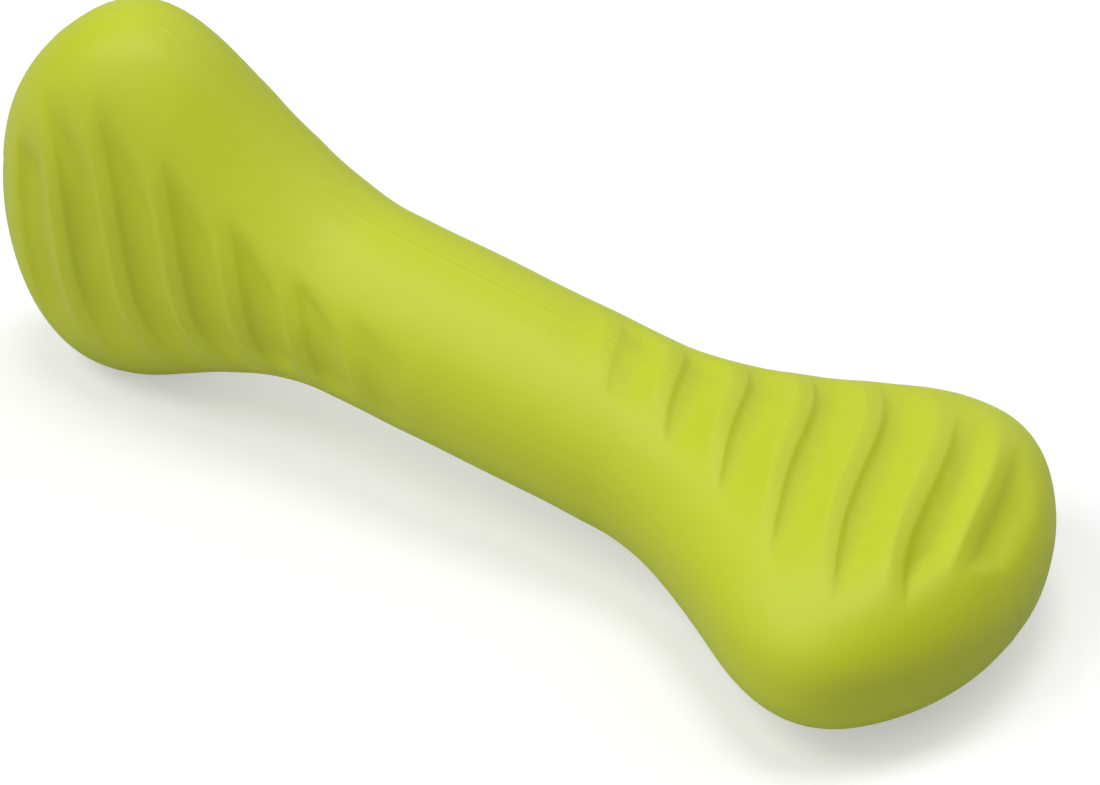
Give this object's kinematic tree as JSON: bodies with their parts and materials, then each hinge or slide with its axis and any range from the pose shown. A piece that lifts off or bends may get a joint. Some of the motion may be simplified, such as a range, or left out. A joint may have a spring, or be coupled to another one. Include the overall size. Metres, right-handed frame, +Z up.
{
  "type": "chew toy",
  "caption": "Solid moulded rubber chew bone: a round shaft flaring into two flat rounded ends turned a quarter turn apart, with slanting wave-shaped ribs on their broad faces.",
  "frame": {"origin": "on the floor, under the middle of the outer box of the toy as it lies at rest", "axes": "+Z up, X along the toy; +X points to the end that lies flat, -X to the end that stands on its edge, and the shaft rises a little towards -X"},
  "size_m": [0.2088, 0.0786, 0.078],
  "materials": {
    "lime_rubber": "matt moulded rubber, opaque lime green"
  },
  "bodies": {
    "root": {"chew_bone": "lime_rubber"}
  },
  "joints": []
}
